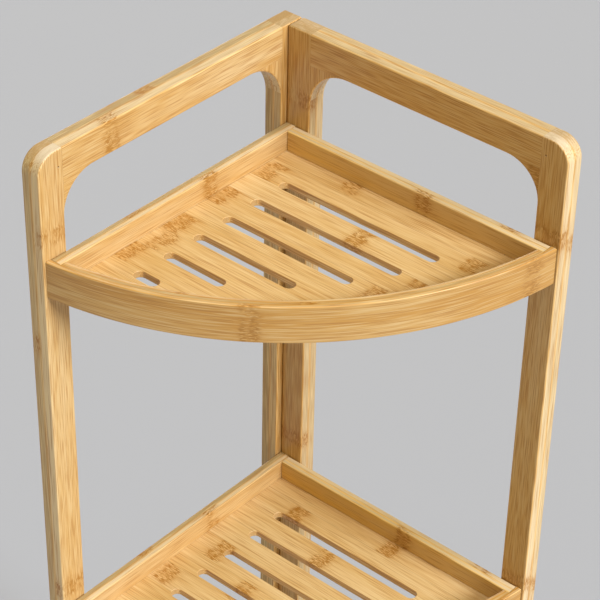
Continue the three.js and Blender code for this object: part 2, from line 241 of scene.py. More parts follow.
def dress(mesh, grain_of, split_of, sticks, seed, ply_of):
    """Gives every face its stick, and every corner its place in the grain."""
    layer_grain = mesh.loops.layers.float_vector.new("grain")
    layer_stick = mesh.loops.layers.float_vector.new("stick")
    layer_seam = mesh.loops.layers.float_vector.new("seam")
    for face in mesh.faces:
        middle = split_of(face.calc_center_median())
        number = next((i for i, s in enumerate(sticks) if middle < s.end), len(sticks) - 1)
        stick = sticks[number]
        half = (stick.end - stick.start) / 2
        ply = ply_of(face)
        for loop in face.loops:
            along, across, through = grain_of(loop.vert.co)
            offset = split_of(loop.vert.co) - stick.start - half
            loop[layer_grain] = (along - stick.node, across, through)
            loop[layer_stick] = (seed + STICK_SEED_STEP * number, stick.tone, ply)
            loop[layer_seam] = (offset, half, stick.spacing)


def split(mesh, point, normal):
    """Adds edges where a plane passes through the mesh."""
    geometry = mesh.verts[:] + mesh.edges[:] + mesh.faces[:]
    bmesh.ops.bisect_plane(mesh, geom=geometry, plane_co=point, plane_no=normal, dist=1e-6)


def finish_piece(mesh, name, nodes, material, place, fibre):
    """Turns a mesh into a visible piece that stands for its CAD nodes. `place` takes the
    mesh to the row frame, and `fibre` gives the grain's direction at a vertex."""
    directions = [fibre(v.co) for v in mesh.verts]
    bmesh.ops.transform(mesh, matrix=place, verts=mesh.verts)
    if place.determinant() < 0:
        bmesh.ops.reverse_faces(mesh, faces=mesh.faces)
    data = bpy.data.meshes.new(name)
    mesh.to_mesh(data)
    mesh.free()
    turned = np.array([place.to_3x3() @ d for d in directions], np.float32)
    data.attributes.new("fibre", "FLOAT_VECTOR", "POINT").data.foreach_set("vector", turned.ravel())
    data.materials.append(material)
    finish_object(data, name, nodes)


def finish_object(data, name, nodes):
    """Smooth rounded edges, crisp glue lines, and the piece's place in the frame."""
    data.polygons.foreach_set("use_smooth", [True] * len(data.polygons))
    data.set_sharp_from_angle(angle=SHARP_ANGLE)
    piece = bpy.data.objects.new(name, data)
    bpy.context.scene.collection.objects.link(piece)
    weighted = piece.modifiers.new("weighted_normals", "WEIGHTED_NORMAL")
    weighted.keep_sharp = True
    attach(piece, "root")
    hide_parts(*nodes)


# ---------------------------------------------------------------- shader formulas


class Signal:
    """A number that varies over a surface: a shader node's output that can be used in formulas."""

    tree = None

    def __init__(self, socket):
        self.socket = socket

    def __add__(self, other):
        return formula("ADD", self, other)

    def __sub__(self, other):
        return formula("SUBTRACT", self, other)

    def __rsub__(self, other):
        return formula("SUBTRACT", other, self)

    def __mul__(self, other):
        return formula("MULTIPLY", self, other)

    def __truediv__(self, other):
        return formula("DIVIDE", self, other)

    __radd__ = __add__


def feed(socket, value):
    """Sets an input to a number or colour, or wires a signal to it."""
    if isinstance(value, Signal):
        Signal.tree.links.new(value.socket, socket)
    else:
        socket.default_value = value


def formula(operation, *values):
    """One step of arithmetic on signals and numbers."""
    node = Signal.tree.nodes.new("ShaderNodeMath")
    node.operation = operation
    for socket, value in zip(node.inputs, values):
        feed(socket, value)
    return Signal(node.outputs[0])


def smoothstep(value, low, high):
    """0 below low and 1 above high, with a smooth rise between."""
    node = Signal.tree.nodes.new("ShaderNodeMapRange")
    node.interpolation_type = "SMOOTHSTEP"
    feed(node.inputs["Value"], value)
    feed(node.inputs["From Min"], low)
    feed(node.inputs["From Max"], high)
    return Signal(node.outputs["Result"])


def bell(value, width):
    """1 where value is 0, falling to nearly 0 past width on both sides."""
    ratio = value / width
    return formula("EXPONENT", ratio * ratio * -1)


def attribute(name):
    """The three numbers of a mesh attribute."""
    node = Signal.tree.nodes.new("ShaderNodeAttribute")
    node.attribute_name = name
    split_node = Signal.tree.nodes.new("ShaderNodeSeparateXYZ")
    Signal.tree.links.new(node.outputs["Vector"], split_node.inputs[0])
    return [Signal(output) for output in split_node.outputs]


def vector(x, y, z):
    """A place made of three signals."""
    node = Signal.tree.nodes.new("ShaderNodeCombineXYZ")
    for socket, value in zip(node.inputs, (x, y, z)):
        feed(socket, value)
    return Signal(node.outputs[0])


def scaled(place, factor):
    """A place with all three numbers multiplied by a factor."""
    node = Signal.tree.nodes.new("ShaderNodeVectorMath")
    node.operation = "SCALE"
    feed(node.inputs[0], place)
    node.inputs["Scale"].default_value = factor
    return Signal(node.outputs[0])


def object_place():
    """The surface point in the object's own coordinates."""
    node = Signal.tree.nodes.new("ShaderNodeTexCoord")
    return Signal(node.outputs["Object"])


def noise(place, detail=2.0, roughness=0.5):
    """Smooth noise from about 0 to 1, one blob per unit."""
    node = Signal.tree.nodes.new("ShaderNodeTexNoise")
    feed(node.inputs["Vector"], place)
    node.inputs["Scale"].default_value = 1
    node.inputs["Detail"].default_value = detail
    node.inputs["Roughness"].default_value = roughness
    return Signal(node.outputs["Fac"])


def blend(factor, below, above):
    """Two colours mixed by a factor."""
    node = Signal.tree.nodes.new("ShaderNodeMix")
    node.data_type = "RGBA"
    feed(node.inputs["Factor"], factor)
    feed(node.inputs[6], below)
    feed(node.inputs[7], above)
    return Signal(node.outputs[2])


def new_material(name):
    """A material with one Principled shader; formulas made after this belong to it."""
    material = bpy.data.materials.new(name)
    material.use_nodes = True
    Signal.tree = material.node_tree
    return material, material.node_tree.nodes["Principled BSDF"]


def bump(height, strength, distance):
    """A normal tilted by a height signal."""
    node = Signal.tree.nodes.new("ShaderNodeBump")
    node.inputs["Strength"].default_value = strength
    node.inputs["Distance"].default_value = distance
    feed(node.inputs["Height"], height)
    return Signal(node.outputs["Normal"])


# ---------------------------------------------------------------- materials

OLIVE = (0.50, 0.34, 0.13, 1)
HONEY = (0.75, 0.465, 0.150, 1)
TAN = (0.70, 0.455, 0.170, 1)
# Honey about a third brighter: painted light for the bounce off the panel onto the right rail's inner face.
BOUNCE_LIT_HONEY = (1.00, 0.66, 0.160, 1)
CREAM = (0.84, 0.63, 0.32, 1)
FIBRE = (0.44, 0.205, 0.045, 1)
PALE_FIBRE = (0.88, 0.69, 0.36, 1)
DULL_EDGE = (0.44, 0.325, 0.145, 1)
PALE_EDGE = (0.82, 0.68, 0.43, 1)
NODE_BAND = (0.60, 0.27, 0.030, 1)
RUST = (0.40, 0.170, 0.014, 1)
AMBER = (0.62, 0.31, 0.05, 1)
END_GRAIN = (0.46, 0.28, 0.095, 1)
PALE_END = (0.78, 0.67, 0.48, 1)
GLUE = (0.30, 0.17, 0.05, 1)
DULL_ZINC = (0.50, 0.50, 0.52, 1)
BRIGHT_ZINC = (0.70, 0.71, 0.73, 1)
DARK_BRONZE = (0.10, 0.045, 0.015, 1)
BRONZE = (0.24, 0.13, 0.05, 1)
BLACK_RUBBER = (0.018, 0.017, 0.016, 1)
DUSTY_RUBBER = (0.07, 0.065, 0.06, 1)

# Lengths of the grain's features
NODE_HALF_LENGTH = 8.5 * MM       # stippled band at a node
NODE_RAGGEDNESS = 9 * MM
NODE_SWERVE = 2.5 * MM            # how far the fibres swirl aside at a node
NODE_WARM_LENGTH = 60 * MM        # amber stain on both sides of a node
UPPER_ROW = (2.2 * MM, 3.2 * MM)  # place and half length of a node's rows of strokes
LOWER_ROW = (-5.0 * MM, 2.2 * MM)
PALE_EDGE_START = 0.4 * MM        # a ply turns from its pale edge to its face colour
PALE_EDGE_END = 1.6 * MM
GLUE_LINE_START = 0.05 * MM       # a glue line fades out between these distances
GLUE_LINE_END = 0.30 * MM


def square_to(name):
    """How nearly a face is square to the direction in a mesh attribute, from 0 to 1."""
    geometry = Signal.tree.nodes.new("ShaderNodeNewGeometry")
    facing = Signal.tree.nodes.new("ShaderNodeVectorMath")
    facing.operation = "DOT_PRODUCT"
    direction = Signal.tree.nodes.new("ShaderNodeAttribute")
    direction.attribute_name = name
    Signal.tree.links.new(geometry.outputs["Normal"], facing.inputs[0])
    Signal.tree.links.new(direction.outputs["Vector"], facing.inputs[1])
    return formula("ABSOLUTE", Signal(facing.outputs["Value"]))


def bamboo_material(name, contrast, flecks, amber, honey, pale_end):
    """Varnished laminated bamboo: fibre streaks, stippled nodes, glue lines, pale ply edges
    and end grain. A ply of 1 has pale edges, and a ply of -1 is an upright panel face, such
    as a slot wall, which is darkened to amber as painted shade. Contrast is that of the
    streaks, flecks the share of short ones, amber the depth of the warm stains, honey the
    middle tone, and pale_end the lightest end grain."""
    material, shader = new_material(name)
    along, across, through = attribute("grain")
    seed, tone, ply = attribute("stick")
    seam_offset, seam_half, spacing = attribute("seam")
    far = seed * SEED_SPREAD

    # Distance to the nearest node of the stick, with a ragged edge.
    cycle = along / spacing + 0.5
    from_node = (formula("FRACT", cycle) - 0.5) * spacing
    wander = noise(vector(across * 130, through * 130, far), 2) - 0.5
    from_node = from_node + wander * NODE_RAGGEDNESS
    zone = bell(from_node, NODE_HALF_LENGTH)

    # Fibres run along the grain and swirl a little at a node.
    swirl = noise(vector(along * 130, across * 220, far), 1) - 0.5
    swerve = swirl * zone * NODE_SWERVE
    across_fibre = across + swerve
    through_fibre = through + swerve

    def fibres(lengthwise, crosswise, detail):
        """Noise with so many blobs per metre along and across the fibres."""
        place = vector(along * lengthwise + far, across_fibre * crosswise, through_fibre * crosswise)
        return noise(place, detail)

    fine = fibres(42, 1700, 0)
    middle = fibres(7, 600, 1)
    broad = fibres(5, 110, 2)
    short = fibres(90, 1300, 0)
    to_seam = seam_half - formula("ABSOLUTE", seam_offset)
    ply_edge = smoothstep(to_seam, PALE_EDGE_START, PALE_EDGE_END) * ply
    streaks = (fine - 0.5) * 1.6 + (middle - 0.5) * 0.4 + (short - 0.5) * flecks
    light = streaks * contrast * (1 - ply_edge * 0.4)

    # Stick tone, from olive through honey to cream, with dark and pale fibres over it.
    shade = tone + (broad - 0.5) * 0.7
    base = blend(smoothstep(shade, 0.0, 0.5), OLIVE, honey)
    base = blend(smoothstep(shade, 0.5, 1.0), base, CREAM)
    stains = noise(vector(along * 7 + far, across * 60, through * 60), 2)
    warmth = smoothstep(stains, 0.40, 0.66) + bell(from_node, NODE_WARM_LENGTH) * 0.7
    # Upright panel faces, mostly slot walls, are darkened to amber: painted shade for the inside of the
    # slots.
    slot_wall_shade = smoothstep(0 - ply, 0.2, 0.8)
    base = blend(formula("MINIMUM", warmth, 1) * amber, base, AMBER)
    base = blend(slot_wall_shade * 0.6, base, AMBER)
    edge = blend(smoothstep(shade, 0.0, 1.0), DULL_EDGE, PALE_EDGE)
    base = blend(ply_edge * 0.8, base, edge)
    base = blend(smoothstep(0 - light, 0.0, 0.40) * 0.70, base, FIBRE)
    base = blend(smoothstep(light, 0.0, 0.40) * 0.5, base, PALE_FIBRE)

    # A node is a warm band with two rows of dark strokes.
    strokes = fibres(210, 1750, 1)
    upper = bell(from_node - UPPER_ROW[0], UPPER_ROW[1])
    lower = bell(from_node - LOWER_ROW[0], LOWER_ROW[1])
    rows = upper + lower * 0.7
    patches = noise(vector(along * 30, across * 110, through * 110 + far), 1)
    patchy = smoothstep(patches, 0.28, 0.52)
    marks = smoothstep(strokes, 0.455, 0.53) * (rows * 1.3 + zone * 0.3) * patchy
    base = blend(zone * patchy * 0.28, base, NODE_BAND)
    base = blend(formula("MINIMUM", marks, 0.9), base, RUST)

    # Glue lines, and end grain where the face is square to the fibres.
    glue = 1 - smoothstep(to_seam, GLUE_LINE_START, GLUE_LINE_END)
    base = blend(glue * 0.35, base, GLUE)
    end_face = smoothstep(square_to("fibre"), 0.5, 0.95)
    pores = noise(vector(across * 180, through * 1200, far), 2, 0.6)
    end_colour = blend(smoothstep(tone + (pores - 0.5) * 0.8, 0.2, 0.8), END_GRAIN, pale_end)
    base = blend(end_face * 0.8, base, end_colour)

    feed(shader.inputs["Base Color"], base)
    feed(shader.inputs["Roughness"], 0.38 + middle * 0.16 + end_face * 0.12)
    shader.inputs["Coat Weight"].default_value = 0.18
    shader.inputs["Coat Roughness"].default_value = 0.25
    relief = fine * 0.5 + middle * 0.5 - glue * 0.6 - marks * 0.3
    feed(shader.inputs["Normal"], bump(relief, 0.25, 0.3 * MM))
    return material


def steel_material():
    """Zinc-plated screw steel with faint scratches and a dull bloom."""
    material, shader = new_material("screw_steel")
    place = object_place()
    mottled = noise(scaled(place, 900), 3, 0.6)
    scratches = noise(scaled(place, 4200), 2, 0.5)
    feed(shader.inputs["Base Color"], blend(mottled, DULL_ZINC, BRIGHT_ZINC))
    shader.inputs["Metallic"].default_value = 1
    feed(shader.inputs["Roughness"], 0.24 + mottled * 0.22)
    feed(shader.inputs["Normal"], bump(scratches, 0.15, 0.1 * MM))
    return material


def brad_material():
    """Dull bronzed wire of a brad."""
    material, shader = new_material("brad_steel")
    place = object_place()
    stain = noise(scaled(place, 1500), 3, 0.6)
    feed(shader.inputs["Base Color"], blend(stain, DARK_BRONZE, BRONZE))
    shader.inputs["Metallic"].default_value = 0.4
    feed(shader.inputs["Roughness"], 0.5 + stain * 0.2)
    feed(shader.inputs["Normal"], bump(stain, 0.2, 0.1 * MM))
    return material


def rubber_material():
    """Matt moulded rubber with a fine grain and a little dust."""
    material, shader = new_material("pad_rubber")
    place = object_place()
    grain = noise(scaled(place, 3500), 3, 0.6)
    dust = smoothstep(noise(scaled(place, 260), 3), 0.5, 0.8)
    feed(shader.inputs["Base Color"], blend(dust * 0.5, BLACK_RUBBER, DUSTY_RUBBER))
    feed(shader.inputs["Roughness"], 0.72 + grain * 0.2)
    feed(shader.inputs["Normal"], bump(grain, 0.3, 0.1 * MM))
    return material


frame_bamboo = bamboo_material(
    "frame_bamboo", contrast=1.25, flecks=0.45, amber=0.35, honey=HONEY, pale_end=PALE_END)
left_rail_bamboo = bamboo_material(
    "left_rail_bamboo", contrast=0.95, flecks=0.3, amber=0.40, honey=HONEY, pale_end=END_GRAIN)
# The right rail's brighter honey is painted bounce light from the panel.
right_rail_bamboo = bamboo_material(
    "right_rail_bamboo", contrast=0.70, flecks=0.3, amber=0.10, honey=BOUNCE_LIT_HONEY, pale_end=END_GRAIN)
front_rail_bamboo = bamboo_material(
    "front_rail_bamboo", contrast=0.90, flecks=0.35, amber=0.90, honey=HONEY, pale_end=END_GRAIN)
panel_bamboo = bamboo_material(
    "panel_bamboo", contrast=0.70, flecks=0.25, amber=0.15, honey=TAN, pale_end=END_GRAIN)
screw_steel = steel_material()
brad_steel = brad_material()
pad_rubber = rubber_material()

# ---------------------------------------------------------------- screws, brads and foot pads

SCREW_HEAD_RADIUS = 3.8 * MM
SCREW_SHANK_RADIUS = 1.8 * MM
SCREW_HEAD_HEIGHT = 2.4 * MM
SCREW_RIM = 0.4 * MM
POINT_LENGTH = 4 * MM
RECESS_DEPTH = 1.9 * MM
RECESS_ARM = 2.3 * MM
RECESS_WIDTH = 0.95 * MM
RECESS_TAPER = 0.45               # size of the recess at its bottom, as a share of its top
TIP_RADIUS = SCREW_SHANK_RADIUS / 4
TIP_LENGTH = 0.6 * MM
SCREW_EASE = 0.1 * MM

# A brad is thinner here than in the CAD, where it is a sturdier stand-in.
BRAD_RADIUS = 0.4 * MM
BRAD_HEAD_RADIUS = 0.6 * MM
BRAD_HEAD_HEIGHT = 0.5 * MM
BRAD_EASE = 0.15 * MM
BRAD_POINT_LENGTH = 1 * MM
BRAD_HOLE_RADIUS = 0.68 * MM

# Underside of a foot pad: a flat ring round a shallow hollow.
PAD_HOLLOW_DEPTH = 0.3 * MM
PAD_HOLLOW_RADIUS = 0.55          # share of the pad's radius
PAD_RING_RADIUS = 0.62            # share of the pad's radius, where the flat ring begins
PAD_EASE = 0.7 * MM
PAD_EASE_MIDDLE = 0.2 * MM        # both ways, a point halfway round the eased edge

Fastener = namedtuple("Fastener", "node head towards length")


def fastener(node):
    """Where a CAD screw or brad is. A screw is driven towards the inside of the shelf, and a
    brad away from it."""
    low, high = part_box(node)
    size = high - low
    axis = max(range(3), key=lambda i: size[i])
    middle = (low + high) / 2
    sign = 1 if axis == 0 else -1
    if node.endswith("brad"):
        sign = -sign
    head = middle.copy()
    head[axis] = low[axis] if sign > 0 else high[axis]
    towards = Vector((0, 0, 0))
    towards[axis] = sign
    return Fastener(node, head, towards, size[axis])


def aimed(mesh, position, towards):
    """Turns a mesh whose tip points down -Z so that it points along `towards`, with its head
    at position."""
    turn = Vector((0, 0, -1)).rotation_difference(towards).to_matrix().to_4x4()
    bmesh.ops.transform(mesh, matrix=Matrix.Translation(position) @ turn, verts=mesh.verts)
    return mesh


def screw_hole(length, position, towards):
    """The cutter for a countersunk hole."""
    shank = SCREW_SHANK_RADIUS + GAP
    head = SCREW_HEAD_RADIUS + GAP
    depth = SCREW_HEAD_HEIGHT + GAP
    profile = [
        (0, -length - GAP),
        (shank, -length - GAP),
        (shank, -depth),
        (head, -SCREW_RIM - GAP),
        (head, CUTTER_MARGIN),
        (0, CUTTER_MARGIN),
    ]
    return aimed(lathe_mesh(profile, HOLE_STEPS), position, towards)


def screw_mesh(length):
    """A countersunk wood screw with a cross drive."""
    head = SCREW_HEAD_RADIUS
    shank = SCREW_SHANK_RADIUS
    profile = [
        (0, -length),
        (TIP_RADIUS, -length + TIP_LENGTH),
        (shank, -length + POINT_LENGTH),
        (shank, -SCREW_HEAD_HEIGHT),
        (head - SCREW_EASE, -SCREW_RIM),
        (head, -SCREW_RIM + SCREW_EASE),
        (head, -SCREW_EASE),
        (head - SCREW_EASE, 0),
        (0, 0),
    ]
    screw = lathe_mesh(profile, SCREW_STEPS)
    arm, half = RECESS_ARM, RECESS_WIDTH / 2
    for reach, width in ((arm, half), (half, arm)):
        ring = [(-reach, -width), (reach, -width), (reach, width), (-reach, width)]
        bottom = [(x * RECESS_TAPER, y * RECESS_TAPER, -RECESS_DEPTH) for x, y in ring]
        rings = [bottom] + [[(x, y, z) for x, y in ring] for z in (0, MM)]
        screw = carve(screw, [skin(rings)])
    return screw


def brad_mesh(length):
    """A wire nail with a small round head."""
    head = BRAD_HEAD_RADIUS
    profile = [
        (0, -length),
        (BRAD_RADIUS, -length + BRAD_POINT_LENGTH),
        (BRAD_RADIUS, -BRAD_HEAD_HEIGHT),
        (head, -BRAD_HEAD_HEIGHT),
        (head, -BRAD_EASE),
        (head - BRAD_EASE, 0),
        (0, 0),
    ]
    return lathe_mesh(profile, BRAD_STEPS)


def brad_hole(length, position, towards):
    """The cutter for a brad's hole."""
    radius = BRAD_HOLE_RADIUS
    bottom = -length - GAP
    profile = [(0, bottom), (radius, bottom), (radius, CUTTER_MARGIN), (0, CUTTER_MARGIN)]
    return aimed(lathe_mesh(profile, BRAD_STEPS), position, towards)


def plain_piece(mesh, node, material):
    """Turns a mesh that is already in its place into a visible piece without grain."""
    data = bpy.data.meshes.new(node + "_look")
    mesh.to_mesh(data)
    mesh.free()
    data.materials.append(material)
    finish_object(data, node + "_look", [node])


TRAY_NAMES = ["top_tray", "middle_tray", "bottom_tray"]
tray_screws = [f"{tray}_screw_{place}" for tray in TRAY_NAMES
               for place in ("left_front", "right_front", "right_back", "corner")]
frame_screws = [f"frame_screw_{level}" for level in ("upper", "middle", "lower")]
screws = {node: fastener(node) for node in tray_screws + frame_screws}
brads = {side: fastener(f"{side}_brad") for side in ("left", "right")}


def build_fasteners():
    for node, screw in screws.items():
        mesh = aimed(screw_mesh(screw.length), screw.head, screw.towards)
        plain_piece(mesh, node, screw_steel)
    for brad in brads.values():
        mesh = aimed(brad_mesh(brad.length), brad.head, brad.towards)
        plain_piece(mesh, brad.node, brad_steel)


def build_foot_pads():
    for place in ("left_front", "left_back", "right_front", "right_back"):
        node = place + "_foot_pad"
        low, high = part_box(node)
        radius, height = (high.x - low.x) / 2, high.z - low.z
        profile = [
            (0, PAD_HOLLOW_DEPTH),
            (radius * PAD_HOLLOW_RADIUS, PAD_HOLLOW_DEPTH),
            (radius * PAD_RING_RADIUS, 0),
            (radius - PAD_EASE, 0),
            (radius - PAD_EASE_MIDDLE, PAD_EASE_MIDDLE),
            (radius, PAD_EASE),
            (radius, height),
            (0, height),
        ]
        mesh = lathe_mesh(profile, PAD_STEPS)
        centre = (low + high) / 2
        bmesh.ops.translate(mesh, vec=(centre.x, centre.y, low.z), verts=mesh.verts)
        plain_piece(mesh, node, pad_rubber)


# ---------------------------------------------------------------- side frames
#
# A frame's own coordinates are (forward from the inner corner, outward from its inner
# face, up).

FRONT_JOINT = FRAME_DEPTH - POST_WIDTH

FrameSide = namedtuple("FrameSide", "name forward outward back_end back_joint")
SIDES = [
    FrameSide("left", Vector((0, -1, 0)), Vector((-1, 0, 0)),
              -FRAME_THICKNESS, POST_WIDTH - FRAME_THICKNESS),
    FrameSide("right", Vector((1, 0, 0)), Vector((0, 1, 0)),
              GAP, POST_WIDTH),
]

# Tone and node place of the inner and the outer ply. The node's place is measured up from
# the floor, or forward from the inner corner where the grain runs forward.
FRAME_PLIES = {
    "left_front_post": [(0.76, 0.742), (0.32, 0.660)],
    "left_back_post": [(0.36, 0.560), (0.06, 0.690)],
    "left_top_rail": [(0.72, 0.164), (0.10, 0.124)],
    "left_front_corner_block": [(0.60, 0.100), (0.30, 0.100)],
    "left_back_corner_block": [(0.66, 0.500), (0.30, 0.500)],
    "right_front_post": [(0.62, 0.732), (0.42, 0.725)],
    "right_back_post": [(0.32, 0.749), (0.40, 0.600)],
    "right_top_rail": [(0.56, -0.040), (0.50, 0.260)],
    "right_front_corner_block": [(0.40, 0.203), (0.50, 0.100)],
    "right_back_corner_block": [(0.56, 0.600), (0.50, 0.500)],
}


def frame_outline(side):
    """The whole glued-up frame as one bar bent into an arch, as (forward, up) points."""
    outline = [Vector((side.back_end, POST_FOOT)), Vector((side.back_joint, POST_FOOT))]
    inner = BACK_OPENING_RADIUS
    outline += arc((side.back_joint + inner, RAIL_BOTTOM - inner), inner, 2, 1)
    inner = FRONT_OPENING_RADIUS
    outline += arc((FRONT_JOINT - inner, RAIL_BOTTOM - inner), inner, 1, 0)
    outline += [Vector((FRONT_JOINT, POST_FOOT)), Vector((FRAME_DEPTH, POST_FOOT))]
    outer = OUTER_CORNER_RADIUS
    outline += arc((FRAME_DEPTH - outer, HEIGHT - outer), outer, 0, 1)
    back = BACK_CORNER_RADIUS
    outline += arc((side.back_end + back, HEIGHT - back), back, 1, 2)
    return outline


def slab(low_x, high_x, low_z, high_z):
    """A box across the frame's full thickness."""
    return box_mesh((low_x, -FRAME_THICKNESS, low_z), (high_x, 2 * FRAME_THICKNESS, high_z))


def tenon(joint, towards, clearance):
    """A tenon that reaches past a joint, forward or back, or the mortise for it."""
    middle = FRAME_THICKNESS / 2
    ends = sorted((joint - towards * MM, joint + towards * (TENON_LENGTH + clearance)))
    top = (RAIL_BOTTOM + HEIGHT + TENON_HEIGHT) / 2
    half = TENON_THICKNESS / 2 + clearance
    return box_mesh(
        (ends[0], middle - half, top - TENON_HEIGHT - clearance),
        (ends[1], middle + half, top + clearance),
    )


def kept(side, low_x, high_x, low_z, high_z):
    """The part of the glued-up frame between some limits."""
    blank = eased_slab(frame_outline(side), FRAME_THICKNESS, FRAME_EDGE_EASE)
    return carve(blank, [slab(low_x, high_x, low_z, high_z)], "INTERSECT")


def screw_holes(nodes, to_local):
    """Cutters for some screws, in the coordinates that to_local leads to."""
    turn = to_local.to_3x3()
    found = [screws[node] for node in nodes]
    return [screw_hole(s.length, to_local @ s.head, turn @ s.towards) for s in found]


def brad_cutter(side, to_local):
    brad = brads[side.name]
    return brad_hole(brad.length, to_local @ brad.head, to_local.to_3x3() @ brad.towards)


def back_post(side, to_local):
    nodes = list(frame_screws)
    if side.name == "right":
        nodes += [n for n in tray_screws if n.endswith(("right_back", "corner"))]
    post = kept(side, side.back_end - MM, side.back_joint, 0, HEIGHT + MM)
    return carve(post, [tenon(side.back_joint, -1, GAP)] + screw_holes(nodes, to_local))


def front_post(side, to_local):
    nodes = [n for n in tray_screws if n.endswith(side.name + "_front")]
    post = kept(side, FRONT_JOINT, FRAME_DEPTH + MM, 0, HEIGHT + MM)
    post = carve(post, [tenon(FRONT_JOINT, 1, GAP)] + screw_holes(nodes, to_local))
    return carve(post, [brad_cutter(side, to_local)])


def top_rail(side, to_local):
    joint = side.back_joint
    rail = kept(side, joint + GLUE_JOINT, FRONT_JOINT - GLUE_JOINT, RAIL_BOTTOM, HEIGHT + MM)
    rail = carve(rail, [tenon(joint + GAP, -1, 0), tenon(FRONT_JOINT - GAP, 1, 0)], "UNION")
    return carve(rail, [brad_cutter(side, to_local)])


def back_corner_block(side, to_local):
    start = side.back_joint + GLUE_JOINT
    reach = BACK_BLOCK_SIZE + GAP
    top = RAIL_BOTTOM - GLUE_JOINT
    return kept(side, start, start + reach, top - reach, top)


def front_corner_block(side, to_local):
    start = FRONT_JOINT - GLUE_JOINT
    reach = FRONT_BLOCK_SIZE + GAP
    top = RAIL_BOTTOM - GLUE_JOINT
    return kept(side, start - reach, start, top - reach, top)


# How each piece of a frame is made, and the axis of its grain: 0 is forward and 2 is up.
FRAME_PARTS = {
    "back_post": (back_post, 2),
    "front_post": (front_post, 2),
    "top_rail": (top_rail, 0),
    "back_corner_block": (back_corner_block, 2),
    "front_corner_block": (front_corner_block, 0),
}
FRAME_SEED_STEP = 7               # between the seeds of the two frames


def frame_place(side):
    """Takes a frame's own coordinates to the row frame."""
    place = Matrix.Identity(4)
    for column, axis in enumerate((side.forward, side.outward, Vector((0, 0, 1)))):
        for row in range(3):
            place[row][column] = axis[row]
    place.translation = CORNER
    return place


def build_frame(order, side):
    place = frame_place(side)
    half = FRAME_THICKNESS / 2
    for number, (name, (build, along)) in enumerate(FRAME_PARTS.items()):
        node = f"{side.name}_{name}"
        mesh = build(side, place.inverted())
        split(mesh, (0, half, 0), (0, 1, 0))
        inner, outer = FRAME_PLIES[node]
        plies = [Stick(0, half, *inner), Stick(half, 2 * half, *outer)]
        seed = 1 + number + FRAME_SEED_STEP * order
        across = 2 - along
        dress(mesh, lambda p, u=along, v=across: (p[u], p[v], p.y), lambda p: p.y, plies, seed,
              lambda face: 1)
        grain = Vector((0, 0, 0))
        grain[along] = 1
        finish_piece(mesh, node + "_look", [node], frame_bamboo, place,
                     lambda p, direction=grain: direction)


# ---------------------------------------------------------------- trays
#
# A tray's own coordinates start at the inner corner at rim height: +X runs away from the
# left frame, -Y away from the right frame.

# The curved front is an arc whose centre lies behind the inner corner, on the diagonal.
DIAGONAL_EXCESS = math.sqrt(2) * TRAY_DIAGONAL - TRAY_REACH
ARC_SETBACK = (TRAY_REACH ** 2 - TRAY_DIAGONAL ** 2) / (2 * DIAGONAL_EXCESS)
FRONT_RADIUS = TRAY_DIAGONAL + math.sqrt(2) * ARC_SETBACK
ARC_CENTRE = Vector((-ARC_SETBACK, ARC_SETBACK, 0))
SIDE_RAIL_FACE = GAP + SIDE_RAIL_THICKNESS
FRONT_RAIL_SPARE = math.radians(2)    # made at both ends of the front rail, then cut off
WALL_LIMIT = 0.3                      # a face is upright if its normal rises less than this


def rail_section(plies):
    """Cross-section of a rail as (outwards, up) points, where outwards is 0 on the face
    towards the tray. It has a point at both ends of every glue line."""
    thickness = plies[-1].end
    seams = [ply.end for ply in plies[:-1]]
    ease = RAIL_EDGE_EASE
    steps = EASE_STEPS
    groove_top = -PANEL_DEPTH + GAP
    groove_bottom = -PANEL_DEPTH - PANEL_THICKNESS - GAP
    section = arc((ease, -ease), ease, 1, 2, steps)
    section += [Vector((0, groove_top)), Vector((GROOVE_DEPTH, groove_top))]
    section += [Vector((GROOVE_DEPTH, groove_bottom)), Vector((0, groove_bottom))]
    section += arc((ease, -RAIL_HEIGHT + ease), ease, 2, 3, steps)
    section += [Vector((seam, -RAIL_HEIGHT)) for seam in seams]
    section += arc((thickness - ease, -RAIL_HEIGHT + ease), ease, 3, 4, steps)
    section += arc((thickness - ease, -ease), ease, 0, 1, steps)
    section += [Vector((seam, 0)) for seam in reversed(seams)]
    return section


def straight_rail(plies, start, end, outwards, direction):
    """A side rail whose section is carried along `direction` from start to end."""
    section = rail_section(plies)
    face = -outwards * SIDE_RAIL_FACE
    return skin([[face + outwards * p.x + Vector((0, 0, p.y)) + direction * d for p in section]
                 for d in (start, end)])


def curved_rail(plies):
    """The front rail: a sector of a ring, notched at both ends to pass over the side rails."""
    section = rail_section(plies)
    edge = math.asin(ARC_SETBACK / FRONT_RADIUS)
    low = -math.pi / 2 + edge - FRONT_RAIL_SPARE
    high = -edge + FRONT_RAIL_SPARE
    rings = []
    for i in range(FRONT_RAIL_STEPS + 1):
        angle = low + (high - low) * i / FRONT_RAIL_STEPS
        out = Vector((math.cos(angle), math.sin(angle), 0))
        inner = FRONT_RADIUS - FRONT_RAIL_THICKNESS
        rings.append([ARC_CENTRE + out * (inner + p.x) + Vector((0, 0, p.y)) for p in section])
    reach = FRONT_RADIUS
    low_z, high_z = -2 * RAIL_HEIGHT, RAIL_HEIGHT
    notch = SIDE_RAIL_END + GAP
    shoulder = SIDE_RAIL_FACE + GAP
    rail = carve(skin(rings), [box_mesh((GAP, -reach, low_z), (reach, -GAP, high_z))], "INTERSECT")
    rail = carve(rail, [box_mesh((-MM, -shoulder, low_z), (notch, MM, high_z))])
    return carve(rail, [box_mesh((-MM, -notch, low_z), (shoulder, MM, high_z))])


